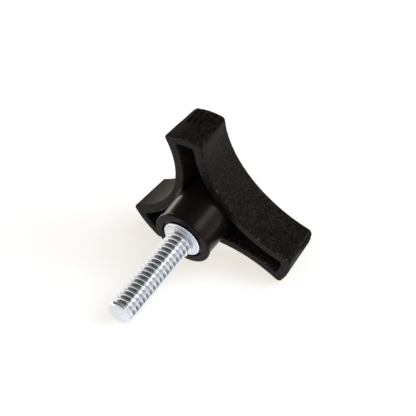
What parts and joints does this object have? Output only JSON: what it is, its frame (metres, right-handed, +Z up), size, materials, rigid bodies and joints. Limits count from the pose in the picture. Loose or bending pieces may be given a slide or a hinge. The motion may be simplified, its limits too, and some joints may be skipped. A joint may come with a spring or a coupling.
{
  "type": "wing knob",
  "caption": "Clamping wing knob: hollow moulded black plastic head with arms and a boss, and a zinc-plated threaded steel stud, lying at rest.",
  "frame": {"origin": "middle of the bounding box, on the floor that the knob lies on", "axes": "+Z up, +Y towards the closed back of the head, with the stud leaning down towards -Y, and one arm upwards"},
  "size_m": [0.0432, 0.0462, 0.0387],
  "materials": {
    "black_plastic": "finely grained moulded black thermoplastic, smoother on the boss and the rim",
    "zinc_steel": "bright bluish zinc plating"
  },
  "bodies": {
    "root": {"knob_body": "black_plastic", "threaded_stud": "zinc_steel"}
  },
  "joints": []
}
